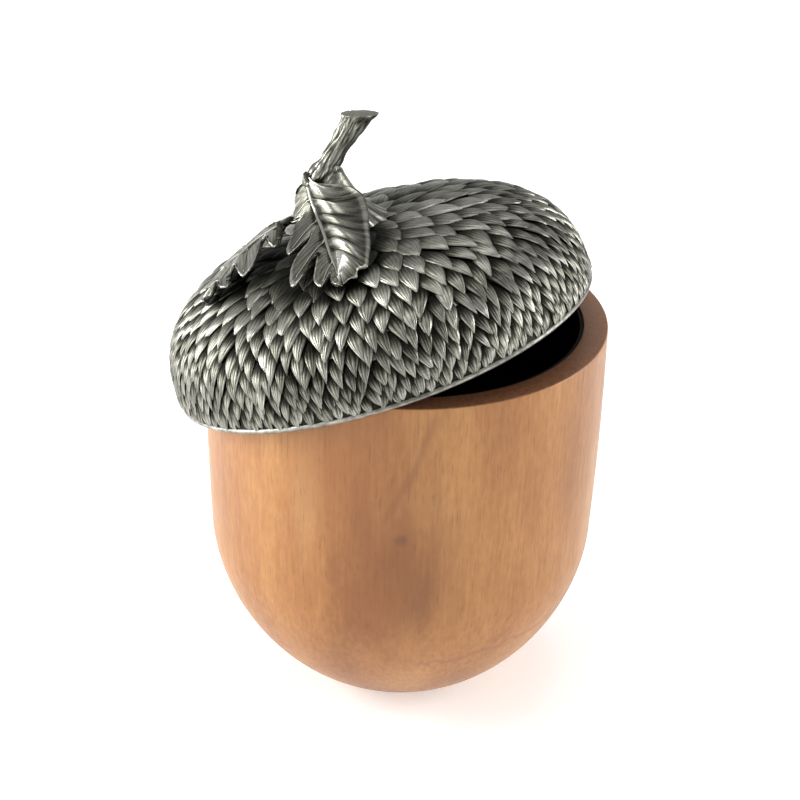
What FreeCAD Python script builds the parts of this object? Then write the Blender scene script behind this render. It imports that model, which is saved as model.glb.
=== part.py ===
import FreeCAD, Part
import math
import os

# Acorn-shaped lidded bowl. Millimetres, +Z up, origin at the centre of the flat foot.
# The turned wood body is a body of revolution about Z. The cast lid is modelled upright
# in its own frame (bottom edge in the plane z = 0, axis along z) and is then set down
# ajar: tipped to one side, with its lip hooked over the rim there.

# ---- driving dimensions ----
rim_radius = 50.0            # outer radius of the bowl at its flat rim
bowl_height = 99.5           # foot to rim
wall = 6.1                   # wood wall at the rim
belly_radius = 48.3          # radius where the round bottom meets the nearly straight side
belly_height = 45.05
side_swell = 1.7             # outward bow of the side between belly and rim
round_depth = 46.2           # vertical half axis of the round bottom
round_core = 6.6             # flat middle of the round bottom's curve, cut away by the foot
round_power = 1.8            # superellipse power of the round bottom
floor_thickness = 8.0        # wood under the liner
liner_wall = 1.0
liner_recess = 0.3           # liner edge below the wooden rim

lid_radius = 54.1            # widest radius of the cap
lid_height = 31.15           # bottom edge to the crown, without the stem
lid_power = 2.66             # superellipse power of the cap's outside
widest_height = 2.1          # height of the widest ring above the bottom edge
shell = 2.25                 # cast wall at the crown and at the widest ring
inside_power = 2.42          # superellipse power of the cap's inside
lip_outer = 53.3             # plain bead around the bottom edge
lip_inner = 52.15
lip_height = 1.3
lip_round = 0.5

lid_tilt = 20.34             # degrees between the cap's axis and Z
lid_heading = 162.02         # direction the cap leans to, in degrees from +X
lid_shift = 5.235            # centre of the bottom edge, along that direction
lid_rise = 93.03             # and its height above the foot

stem_lean = 50.0             # the twig's lean away from the cap's axis, in degrees
stem_lean_heading = 208.0    # direction of that lean, in the cap's frame
stem_bend_height = 15.5      # where the twig bends, above the crown
twig_length = 15.0
twig_cut_turn = 32.0         # the cut end is this far off square
heel_radius = 2.3            # rounded lower end of the twig, past the bend
heel_reach = 4.0             # from the cap's axis, away from the lean
heel_height = 14.1           # above the crown
neck_sections = [(-2.0, 10.6), (0.8, 9.2), (3.0, 7.5), (6.0, 6.0), (9.0, 4.7), (14.0, 3.2)]
twig_sections = [(-2.0, 2.9), (5.0, 2.75), (9.0, 2.95), (13.5, 3.5), (20.0, 4.5)]

leaf_thickness = 1.0
leaf_gap = 0.5               # leaf above the cap, away from the stem
leaf_rise = 12.0             # extra height of a leaf over the crown, where it leaves the stem
leaf_reach = 36.0            # radius at which that extra height has run out
leaf_fall = 3.0              # power by which it runs out
leaf_outer_radius = 47.0

screw_radius = 1.5
screw_length = 9.0
screw_head_radius = 2.9
screw_head_height = 2.0
washer_radius = 4.6
washer_thickness = 0.8
screw_clearance = 0.2

X_AXIS = FreeCAD.Vector(1, 0, 0)
Y_AXIS = FreeCAD.Vector(0, 1, 0)
Z_AXIS = FreeCAD.Vector(0, 0, 1)


def point(r, z):
    """A point of a half section, in the XZ plane."""
    return FreeCAD.Vector(r, 0, z)


def spline(points, start=None, end=None):
    """A smooth edge through the points, with optional end directions."""
    curve = Part.BSplineCurve()
    if start is None:
        curve.interpolate(Points=points)
    else:
        curve.interpolate(Points=points, InitialTangent=start, FinalTangent=end)
    return curve.toShape()


def line(a, b):
    return Part.LineSegment(a, b).toShape()


def revolve(edges):
    """The solid swept by a closed half section turning about Z."""
    face = Part.Face(Part.Wire(edges))
    return face.revolve(FreeCAD.Vector(0, 0, 0), Z_AXIS, 360)


def frustum_radius(z):
    """Outside radius of the wood between the belly and the rim."""
    s = (z - belly_height) / (bowl_height - belly_height)
    return belly_radius + (rim_radius - belly_radius) * s + side_swell * s * (1 - s)


def round_radius(z):
    """Outside radius of the wood below the belly."""
    u = (belly_height - z) / round_depth
    return round_core + (belly_radius - round_core) * (1 - u**round_power) ** (1 / round_power)


def outside_points():
    low = [point(round_radius(z), z) for z in (0, 1.2, 3, 6, 11, 18, 27, 36)]
    high = [point(frustum_radius(z), z) for z in (belly_height, 58, 72, 86, bowl_height)]
    return low + high


def bore_points(inset, top):
    """Half section of a bore that follows the outside, a wall thickness further in."""
    depth = belly_height - floor_thickness - inset
    radius = belly_radius - wall - inset
    points = [point(0, belly_height - depth)]
    for angle in (15, 30, 45, 60, 75, 90):
        a = math.radians(angle)
        points.append(point(radius * math.sin(a) ** 0.9, belly_height - depth * math.cos(a) ** 0.9))
    for z in (58, 72, 86):
        points.append(point(frustum_radius(z) - wall - inset, z))
    points.append(point(frustum_radius(top) - wall - inset, top))
    return points


def wood_bowl():
    outside = outside_points()
    bore = bore_points(0, bowl_height)
    edges = [
        line(point(0, 0), outside[0]),
        spline(outside),
        line(outside[-1], bore[-1]),
        spline(bore, X_AXIS, Z_AXIS),
        line(bore[0], point(0, 0)),
    ]
    return revolve(edges)


def liner_cup():
    top = bowl_height - liner_recess
    outer = bore_points(0, bowl_height)
    inner = bore_points(liner_wall, bowl_height)
    edges = [
        spline(outer, X_AXIS, Z_AXIS),
        line(outer[-1], inner[-1]),
        spline(inner, X_AXIS, Z_AXIS),
        line(inner[0], outer[0]),
    ]
    above = Part.makeCylinder(rim_radius, floor_thickness, point(0, top))
    return revolve(edges).cut(above)


def dome_points(radius, height, power, angles):
    """Superellipse quarter from the widest ring up to the crown."""
    points = []
    for angle in angles:
        a = math.radians(angle)
        r = radius * math.cos(a) ** (2 / power)
        z = widest_height + (height - widest_height) * math.sin(a) ** (2 / power)
        points.append(point(r, z))
    return points


DOME_ANGLES = (0, 4, 10, 18, 27, 37, 47, 57, 66, 74, 81, 86, 90)


def dome_height(r):
    """Height of the cap's outside at a radius."""
    body = 1 - (r / lid_radius) ** lid_power
    return widest_height + (lid_height - widest_height) * body ** (1 / lid_power)


def lid_cap():
    outer = dome_points(lid_radius, lid_height, lid_power, DOME_ANGLES)
    inner = dome_points(lid_radius - shell, lid_height - shell, inside_power, DOME_ANGLES)
    foot_outer = point(lip_outer + 0.35, lip_height)
    foot_inner = point(lip_inner, lip_height)
    edges = [
        line(foot_inner, foot_outer),
        line(foot_outer, outer[0]),
        spline(outer, Z_AXIS, -X_AXIS),
        line(outer[-1], inner[-1]),
        spline(inner, Z_AXIS, -X_AXIS),
        line(inner[0], foot_inner),
    ]
    ceiling = lid_height - shell
    screw_hole = Part.makeCylinder(screw_radius + screw_clearance, lid_height)
    washer_seat = Part.makeCylinder(washer_radius + 0.4, 1.0, point(0, ceiling - 1.0))
    return revolve(edges).cut(screw_hole).cut(washer_seat)


def lip_bead():
    """Plain bead that finishes the cap's bottom edge, rounded on its outside."""
    side = lip_outer - lip_round
    bead = Part.Arc(point(side, 0), point(lip_outer, lip_height / 2), point(side, lip_height))
    edges = [
        line(point(lip_inner, lip_height), point(lip_inner, 0)),
        line(point(lip_inner, 0), point(side, 0)),
        bead.toShape(),
        line(point(side, lip_height), point(lip_inner, lip_height)),
    ]
    return revolve(edges)


def twig_place():
    """From a frame with the twig along z and its bend at the origin, to the cap's frame."""
    lean = FreeCAD.Rotation(Y_AXIS, stem_lean)
    heading = FreeCAD.Rotation(Z_AXIS, stem_lean_heading)
    return FreeCAD.Placement(Z_AXIS * (lid_height + stem_bend_height), heading.multiply(lean))


def spindle(sections):
    """A round solid about z with a smooth side through (height, radius) sections."""
    side = [point(radius, height) for height, radius in sections]
    low = point(0, side[0].z)
    high = point(0, side[-1].z)
    return revolve([line(low, side[0]), spline(side), line(side[-1], high), line(high, low)])


def stem_twig():
    """Flared neck on the crown, running into a leaning twig with a rounded heel and a cut end."""
    neck = spindle(neck_sections)
    neck.Placement = FreeCAD.Placement(Z_AXIS * lid_height, FreeCAD.Rotation())
    elbow_radius = neck_sections[-1][1]
    elbow = Part.makeSphere(elbow_radius, Z_AXIS * (lid_height + neck_sections[-1][0]))
    slant = FreeCAD.Rotation(Y_AXIS, -twig_cut_turn).multVec(Z_AXIS)
    beyond = Part.makeCylinder(30, 20, Z_AXIS * twig_length, slant)
    twig = spindle(twig_sections).cut(beyond)
    twig.Placement = twig_place()
    away = math.radians(stem_lean_heading + 180)
    heel_centre = FreeCAD.Vector(heel_reach * math.cos(away), heel_reach * math.sin(away), 0)
    heel = Part.makeSphere(heel_radius, heel_centre + Z_AXIS * (lid_height + heel_height))
    return neck.fuse([elbow, heel, twig]).removeSplitter()


def leaf_sheet():
    """A sheet of revolution that drapes from the stem down onto the cap."""
    lower = []
    upper = []
    for r in (0.0, 4.0, 9.0, 15.0, 21.0, 27.0, 33.0, 38.0, 43.0, leaf_outer_radius):
        rise = leaf_rise * max(0.0, 1 - r / leaf_reach) ** leaf_fall
        z = dome_height(r) + leaf_gap + rise
        lower.append(point(r, z))
        upper.append(point(r, z + leaf_thickness))
    edges = [
        spline(lower),
        line(lower[-1], upper[-1]),
        spline(upper),
        line(upper[0], lower[0]),
    ]
    return revolve(edges)


def oak_outline(base, heading, length, half_width, lobes):
    """Outline of a lobed leaf in the plan view of the cap, as a closed smooth wire."""
    axis = FreeCAD.Vector(math.cos(heading), math.sin(heading), 0)
    side = FreeCAD.Vector(-math.sin(heading), math.cos(heading), 0)
    edge = []
    for k in range(lobes):
        tip_at = (k + 0.8) / (lobes + 0.35)
        notch_at = (k + 1.15) / (lobes + 0.35)
        reach = half_width * math.sin(math.pi * (0.16 + 0.62 * tip_at))
        edge.append((tip_at, reach))
        if k < lobes - 1:
            edge.append((notch_at, reach * 0.62))
    left = [(0.0, 1.6)] + edge
    right = [(at, -reach) for at, reach in reversed(left)]
    stations = left + [(1.0, 0.0)] + right
    points = [base + axis * (at * length) + side * reach for at, reach in stations]
    curve = Part.BSplineCurve()
    curve.interpolate(Points=points, PeriodicFlag=True)
    return Part.Wire(curve.toShape())


def leaf(base_x, base_y, heading, length, half_width, lobes, stem):
    base = FreeCAD.Vector(base_x, base_y, 0)
    outline = oak_outline(base, math.radians(heading), length, half_width, lobes)
    block = Part.Face(outline).extrude(Z_AXIS * (lid_height + 20))
    return leaf_sheet().common(block).cut(stem)


def washer():
    ceiling = lid_height - shell
    top = point(0, ceiling - washer_thickness)
    ring = Part.makeCylinder(washer_radius, washer_thickness, top)
    return ring.cut(Part.makeCylinder(screw_radius + screw_clearance, lid_height))


def finial_screw():
    seat = lid_height - shell - washer_thickness
    shank = Part.makeCylinder(screw_radius, screw_length, point(0, seat))
    head = Part.makeCylinder(screw_head_radius, screw_head_height, point(0, seat - screw_head_height))
    rim = [edge for edge in head.Edges if abs(edge.BoundBox.ZMax - (seat - screw_head_height)) < 0.01]
    return head.makeFillet(0.8, rim).fuse(shank)


def set_ajar(shape):
    """Moves a piece from the cap's own frame to where the lid rests on the bowl."""
    heading = math.radians(lid_heading)
    toward = FreeCAD.Vector(math.cos(heading), math.sin(heading), 0)
    turn = FreeCAD.Rotation(Z_AXIS, lid_heading)
    tip = FreeCAD.Rotation(Z_AXIS.cross(toward), lid_tilt)
    placed = shape.copy()
    placed.Placement = FreeCAD.Placement(toward * lid_shift + Z_AXIS * lid_rise, tip.multiply(turn))
    return placed


def export(shape, node):
    assert shape.isValid(), node
    assert len(shape.Solids) == 1, node
    shape.Solids[0].exportStep("parts/" + node + ".step")
    print(node, round(shape.Volume), "mm3")


os.makedirs("parts", exist_ok=True)
export(wood_bowl(), "wood_bowl")
export(liner_cup(), "liner_cup")

screw = finial_screw()
cap = lid_cap()
stem = stem_twig().cut(cap).cut(screw)
leaf_front = leaf(2.5, 4.0, 112.0, 35.0, 12.0, 4, stem)
leaf_left = leaf(5.5, 1.5, 45.0, 35.0, 9.5, 4, stem).cut(leaf_front)
lid_pieces = {
    "lid_cap": cap,
    "lip_bead": lip_bead(),
    "stem_twig": stem,
    "leaf_front": leaf_front,
    "leaf_left": leaf_left,
    "finial_washer": washer(),
    "finial_screw": screw,
}
for node, shape in lid_pieces.items():
    export(set_ajar(shape), node)
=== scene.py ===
import math

import bpy
import numpy as np
from mathutils import Matrix, Vector, noise


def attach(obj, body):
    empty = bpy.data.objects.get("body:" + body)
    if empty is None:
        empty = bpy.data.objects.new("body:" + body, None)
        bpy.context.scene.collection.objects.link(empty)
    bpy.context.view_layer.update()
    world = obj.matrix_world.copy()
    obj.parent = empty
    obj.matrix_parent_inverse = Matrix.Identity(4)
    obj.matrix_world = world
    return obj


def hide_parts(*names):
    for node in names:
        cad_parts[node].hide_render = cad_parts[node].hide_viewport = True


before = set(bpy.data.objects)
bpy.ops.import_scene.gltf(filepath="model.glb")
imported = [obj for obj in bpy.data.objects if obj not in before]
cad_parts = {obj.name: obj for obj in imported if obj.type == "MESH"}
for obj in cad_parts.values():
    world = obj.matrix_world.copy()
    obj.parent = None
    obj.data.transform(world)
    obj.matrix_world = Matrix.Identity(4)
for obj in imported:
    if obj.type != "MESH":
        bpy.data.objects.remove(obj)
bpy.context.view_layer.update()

MM = 0.001

# ---- the bowl, in millimetres, as the CAD body has it ----
RIM_RADIUS = 50.0
BOWL_HEIGHT = 99.5
WALL = 6.1
BELLY_RADIUS = 48.3
BELLY_HEIGHT = 45.05
SIDE_SWELL = 1.7
ROUND_DEPTH = 46.2
ROUND_CORE = 6.6
ROUND_POWER = 1.8
FLOOR_THICKNESS = 8.0
BORE_POWER = 0.9
LINER_WALL = 1.0
LINER_RECESS = 0.3

# ---- the lid, in its own frame: bottom edge in the plane z = 0, axis along z ----
LID_RADIUS = 54.1
LID_HEIGHT = 31.15
LID_POWER = 2.66
WIDEST_HEIGHT = 2.1
SHELL = 2.25
INSIDE_POWER = 2.42
LIP_OUTER = 53.3
LIP_INNER = 52.15
LIP_HEIGHT = 1.3
RELIEF_DEPTH = 1.6
RELIEF_FADE_FROM = 52.0
RELIEF_LOST = 0.72

# ---- how the lid lies, tipped over the rim ----
LID_TILT = 20.34
LID_HEADING = 162.02
LID_SHIFT = 5.235
LID_RISE = 93.03

# ---- how finely turned shapes are cut round the axis ----
SEGMENTS = 256
LINER_SEGMENTS = 192


def lid_frame():
    """From the lid's own frame, in metres, to the row frame."""
    heading = math.radians(LID_HEADING)
    toward = Vector((math.cos(heading), math.sin(heading), 0))
    centre = (toward * LID_SHIFT + Vector((0, 0, LID_RISE))) * MM
    tip = Matrix.Rotation(math.radians(LID_TILT), 4, Vector((0, 0, 1)).cross(toward))
    return Matrix.Translation(centre) @ tip @ Matrix.Rotation(heading, 4, "Z")


LID_FRAME = lid_frame()
random = np.random.default_rng(7)


# ---- mesh helpers ----

def add_object(name, data):
    item = bpy.data.objects.new(name, data)
    bpy.context.scene.collection.objects.link(item)
    return item


def new_piece(name, points, faces, body, replaced=(), place=None):
    """A smooth mesh piece from points in millimetres; place takes them to the row frame."""
    mesh = bpy.data.meshes.new(name)
    mesh.from_pydata((np.asarray(points, float) * MM).tolist(), [], faces)
    if place is not None:
        mesh.transform(place)
    mesh.validate()
    mesh.polygons.foreach_set("use_smooth", [True] * len(mesh.polygons))
    piece = add_object(name, mesh)
    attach(piece, body)
    if replaced:
        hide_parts(*replaced)
    return piece


def set_attribute(piece, name, values):
    attribute = piece.data.attributes.new(name, "FLOAT", "POINT")
    attribute.data.foreach_set("value", np.asarray(values, np.float32).ravel())


def grid_faces(rows, columns, start=0, closed=False, flip=False):
    """Quads over a rows by columns grid of points; closed joins the last column to the first."""
    faces = []
    last = columns if closed else columns - 1
    for i in range(rows - 1):
        for j in range(last):
            k = (j + 1) % columns
            quad = (
                start + i * columns + j,
                start + i * columns + k,
                start + (i + 1) * columns + k,
                start + (i + 1) * columns + j,
            )
            faces.append(quad[::-1] if flip else quad)
    return faces


def lathe(profile, segments):
    """Points and faces of a closed half section turned about z. Ends on the axis share a point."""
    profile = np.asarray(profile, float)
    angles = np.linspace(0, 2 * math.pi, segments, endpoint=False)
    points = []
    rings = []
    for r, z in profile:
        if r < 1e-6:
            rings.append([len(points)])
            points.append((0.0, 0.0, z))
        else:
            rings.append(list(range(len(points), len(points) + segments)))
            points.extend(zip(r * np.cos(angles), r * np.sin(angles), np.full(segments, z)))
    faces = []
    for a, b in zip(rings, rings[1:] + rings[:1]):
        if len(a) == 1 and len(b) == 1:
            continue
        for j in range(segments):
            k = (j + 1) % segments
            if len(a) == 1:
                faces.append((a[0], b[k], b[j]))
            elif len(b) == 1:
                faces.append((a[j], a[k], b[0]))
            else:
                faces.append((a[j], a[k], b[k], b[j]))
    return points, faces


def rounded(corner, before, after, radius, steps=5):
    """Points that round a profile's corner, between the points before and after it."""
    c = np.array(corner, float)
    a = np.array(before, float) - c
    b = np.array(after, float) - c
    start = c + a / np.linalg.norm(a) * radius
    end = c + b / np.linalg.norm(b) * radius
    t = np.linspace(0, 1, steps)[:, None]
    return ((1 - t) ** 2 * start + 2 * t * (1 - t) * c + t**2 * end).tolist()


# ---- bowl and liner ----

def side_radius(z):
    """Outside radius of the wood between the belly and the rim."""
    s = (z - BELLY_HEIGHT) / (BOWL_HEIGHT - BELLY_HEIGHT)
    return BELLY_RADIUS + (RIM_RADIUS - BELLY_RADIUS) * s + SIDE_SWELL * s * (1 - s)


def round_radius(z):
    """Outside radius of the wood below the belly."""
    u = (BELLY_HEIGHT - z) / ROUND_DEPTH
    return ROUND_CORE + (BELLY_RADIUS - ROUND_CORE) * (1 - u**ROUND_POWER) ** (1 / ROUND_POWER)


def bore_profile(inset):
    """The bore from the axis up to the rim, a wall thickness and an inset inside the wood."""
    depth = BELLY_HEIGHT - FLOOR_THICKNESS - inset
    radius = BELLY_RADIUS - WALL - inset
    profile = [(0.0, BELLY_HEIGHT - depth)]
    for a in np.radians(np.linspace(4, 90, 24)):
        drop = depth * math.cos(a) ** BORE_POWER
        profile.append((radius * math.sin(a) ** BORE_POWER, BELLY_HEIGHT - drop))
    for z in np.linspace(BELLY_HEIGHT, BOWL_HEIGHT, 24)[1:]:
        profile.append((side_radius(z) - WALL - inset, z))
    return profile


def make_bowl():
    outer_arris = 0.45
    inner_arris = 0.27
    foot_margin = 0.6
    low = [(round_radius(z), z) for z in BELLY_HEIGHT * np.linspace(0, 1, 40) ** 1.5]
    high = [(side_radius(z), z) for z in np.linspace(BELLY_HEIGHT, BOWL_HEIGHT, 30)[1:-1]]
    bore = bore_profile(0)
    rim_outside = (RIM_RADIUS, BOWL_HEIGHT)
    rim_inside = bore[-1]
    profile = [(0.0, 0.0)]
    profile += [(low[0][0] - foot_margin, 0.0)] + low + high
    profile += rounded(rim_outside, high[-1], rim_inside, outer_arris)
    profile += [((RIM_RADIUS + rim_inside[0]) / 2, BOWL_HEIGHT)]
    profile += rounded(rim_inside, rim_outside, bore[-2], inner_arris)
    profile += bore[-2::-1]
    points, faces = lathe(profile, SEGMENTS)
    bowl = new_piece("turned_bowl", points, faces, "bowl", ["wood_bowl"])
    bowl.data.materials.append(wood_material())


def make_liner():
    gap = 0.02
    arris = 0.3
    outer = bore_profile(gap)
    inner = bore_profile(LINER_WALL)
    top = BOWL_HEIGHT - LINER_RECESS
    outer_top = (outer[-1][0], top)
    inner_top = (inner[-1][0], top)
    profile = outer[:-1] + [outer_top]
    profile += rounded(inner_top, outer_top, inner[-2], arris)
    profile += inner[-2::-1]
    points, faces = lathe(profile, LINER_SEGMENTS)
    liner = new_piece("black_liner", points, faces, "bowl", ["liner_cup"])
    liner.data.materials.append(liner_material())


# ---- the cap's surface ----

def superellipse(radius, height, power, count):
    """Quarter outline from the crown out to the widest ring."""
    a = np.linspace(math.pi / 2, 0, count)
    r = radius * np.cos(a).clip(0) ** (2 / power)
    z = WIDEST_HEIGHT + (height - WIDEST_HEIGHT) * np.sin(a) ** (2 / power)
    return np.column_stack([r, z])


def cap_outline():
    """The cap's outer half section from the crown down and over the lip, by arc length."""
    dome = superellipse(LID_RADIUS, LID_HEIGHT, LID_POWER, 1500)
    lip = np.array([[LIP_OUTER + 0.4, LIP_HEIGHT], [LIP_OUTER + 0.6, LIP_HEIGHT * 0.35]])
    points = np.vstack([dome, lip])
    steps = np.hypot(*np.diff(points, axis=0).T)
    along = np.concatenate([[0], np.cumsum(steps)])
    return along, points


ALONG, OUTLINE = cap_outline()
ARC = ALONG[-2]
ARC_OVER_LIP = ALONG[-1]


def outline_at(s):
    """Radius, height and outward normal of the cap's envelope at arc length s from the crown."""
    s = np.clip(np.asarray(s, float), 0, ARC_OVER_LIP)
    r = np.interp(s, ALONG, OUTLINE[:, 0])
    z = np.interp(s, ALONG, OUTLINE[:, 1])
    step = 0.4
    dr = np.interp(s + step, ALONG, OUTLINE[:, 0]) - np.interp(s - step, ALONG, OUTLINE[:, 0])
    dz = np.interp(s + step, ALONG, OUTLINE[:, 1]) - np.interp(s - step, ALONG, OUTLINE[:, 1])
    size = np.hypot(dr, dz) + 1e-9
    return r, z, -dz / size, dr / size


def cap_point(s, angle, height):
    """A point over the cap: arc length from the crown, angle round the axis, height over the envelope."""
    r, z, normal_r, normal_z = outline_at(s)
    r = r + normal_r * height
    z = z + normal_z * height
    return np.stack([r * np.cos(angle), r * np.sin(angle), z], axis=-1)


def dome_height(r):
    """Height of the envelope at a radius, with the radius kept inside the cap."""
    body = 1 - (np.minimum(r, LID_RADIUS) / LID_RADIUS) ** LID_POWER
    return WIDEST_HEIGHT + (LID_HEIGHT - WIDEST_HEIGHT) * body ** (1 / LID_POWER)


def relief_at(s):
    """Depth of the ground between the scales, which grows shallow towards the lip."""
    down = np.clip((s - RELIEF_FADE_FROM) / (ARC - RELIEF_FADE_FROM), 0, 1)
    return RELIEF_DEPTH * (1 - RELIEF_LOST * down**1.3)


def make_cap_shell():
    inner_radius = LID_RADIUS - SHELL
    inner_height = LID_HEIGHT - SHELL
    margin = 0.05
    s = np.linspace(0, ARC, 150)
    ground = cap_point(s, 0.0, -relief_at(s))
    outer = [(max(p[0], 0.0), p[2]) for p in ground]
    outer[0] = (0.0, outer[0][1])
    inner = superellipse(inner_radius, inner_height, INSIDE_POWER, 70)
    bottom = [(LIP_OUTER + 0.1, LIP_HEIGHT), (LIP_INNER, LIP_HEIGHT)]
    profile = [tuple(p) for p in inner] + bottom[::-1] + outer[::-1]
    points, faces = lathe(profile, SEGMENTS)
    shell = new_piece("cap_shell", points, faces, "lid", ["lid_cap"], LID_FRAME)
    # bright inside and under the side's scales; dark under the crown's and along the edge, partly patina
    # and partly painted shade between the scales
    x, y, z = np.transpose(points)
    bright = (np.hypot(x, y) < inner_radius + margin) & (z < inner_height + margin)
    set_attribute(shell, "tone", np.where(bright, 0.55, 0.10))
    shell.data.materials.append(pewter_material())


def make_lip():
    corners = [
        (LIP_INNER, LIP_HEIGHT),
        (LIP_INNER, 0.0),
        (LIP_OUTER - 0.1, 0.0),
        (LIP_OUTER + 0.55, LIP_HEIGHT / 2),
        (LIP_OUTER + 0.2, LIP_HEIGHT + 0.1),
    ]
    arris = 0.28
    profile = []
    for k, corner in enumerate(corners):
        before = corners[k - 1]
        after = corners[(k + 1) % len(corners)]
        profile += rounded(corner, before, after, arris, 4)
    points, faces = lathe(profile, SEGMENTS)
    lip = new_piece("cap_lip", points, faces, "lid", ["lip_bead"], LID_FRAME)
    lip.data.materials.append(lip_material())


# ---- scales ----

GOLDEN_ANGLE = math.pi * (3 - math.sqrt(5))
FIRST_SCALE_ARC = 7.0
SCALE_LOOSENESS = 0.065
TIP_SHARE = 0.4
# centres and radii of the patches under the leaves, where the scales are darkened as painted shade
LEAF_SHADE_PATCHES = [((-3.0, 19.0), (15.0, 20.0)), ((19.0, 16.0), (13.0, 13.0))]


class Shells:
    """Closed shells gathered into one pewter piece, with the values that its material reads.

    tone is how bright the metal is: rubbed bright or dark with patina, with painted shade and
    painted highlights in it as well; strand and run are distances across and along
    the ribs, which the fine scratches follow.
    """

    def __init__(self):
        self.points = []
        self.faces = []
        self.values = {"tone": [], "strand": [], "run": []}
        self.count = 0

    def add(self, points, faces, tone, strand=0.0, run=0.0):
        n = len(points)
        self.points.append(np.asarray(points, float))
        self.faces += [tuple(k + self.count for k in face) for face in faces]
        for name, value in (("tone", tone), ("strand", strand), ("run", run)):
            self.values[name].append(np.broadcast_to(value, n))
        self.count += n

    def piece(self, name, replaced=()):
        points = np.vstack(self.points)
        piece = new_piece(name, points, self.faces, "lid", replaced, LID_FRAME)
        for attribute, values in self.values.items():
            set_attribute(piece, attribute, np.concatenate(values))
        piece.data.materials.append(pewter_material())


def scale_area(s):
    """Surface that one scale covers, in square millimetres, at arc length s."""
    return np.interp(s, [0, 28, 40, 52, 60, 66, ARC], [50, 47, 32, 20, 13, 9, 7])


def scale_seeds():
    """Arc length and angle of every scale: a sunflower spiral whose cells follow scale_area."""
    s = np.linspace(0, ARC, 4000)
    r = outline_at(s)[0]
    per_step = 2 * math.pi * r / scale_area(s)
    count = np.concatenate([[0], np.cumsum((per_step[1:] + per_step[:-1]) / 2 * np.diff(s))])
    first = int(np.interp(FIRST_SCALE_ARC, s, count))
    index = np.arange(first, int(count[-1]))
    arcs = np.interp(index + 0.5, count, s)
    loose = SCALE_LOOSENESS * np.sqrt(scale_area(arcs))
    angles = index * GOLDEN_ANGLE + random.normal(0, 1, len(arcs)) * loose / outline_at(arcs)[0]
    return arcs + random.normal(0, 1, len(arcs)) * loose, angles


def scale_outline(u, sharpness):
    """Half width of a scale, as a share of its largest, from root (0) to tip (1)."""
    shoulder = 0.42
    root = 0.70 + 0.30 * np.sin(np.clip(u / shoulder, 0, 1) * math.pi / 2)
    t = np.clip((u - shoulder) / (1 - shoulder), 0, 1)
    return np.maximum(root * (1 - t**sharpness), 0.03)


def leaf_shade(x, y):
    """1 in the patches of painted shade under the leaves, falling to 0 beyond them."""
    reach = [np.hypot((x - cx) / rx, (y - cy) / ry) for (cx, cy), (rx, ry) in LEAF_SHADE_PATCHES]
    return np.clip((1.15 - np.minimum(*reach)) / 0.3, 0, 1)


def scale_faces(rows, columns):
    """Faces of a scale: a grid on top and, below it, two points for each row."""
    faces = grid_faces(rows, columns, flip=True)
    base = rows * columns
    for i in range(rows - 1):
        left, right = i * columns, i * columns + columns - 1
        low_left, low_right = base + 2 * i, base + 2 * i + 1
        faces.append((left, left + columns, low_left + 2, low_left))
        faces.append((right + columns, right, low_right, low_right + 2))
        faces.append((low_left, low_left + 2, low_right + 2, low_right))
    tip = (rows - 1) * columns
    low_tip = base + 2 * (rows - 1)
    faces.append(tuple(range(columns)) + (base + 1, base))
    faces.append(tuple(range(tip + columns - 1, tip - 1, -1)) + (low_tip, low_tip + 1))
    return faces


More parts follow.
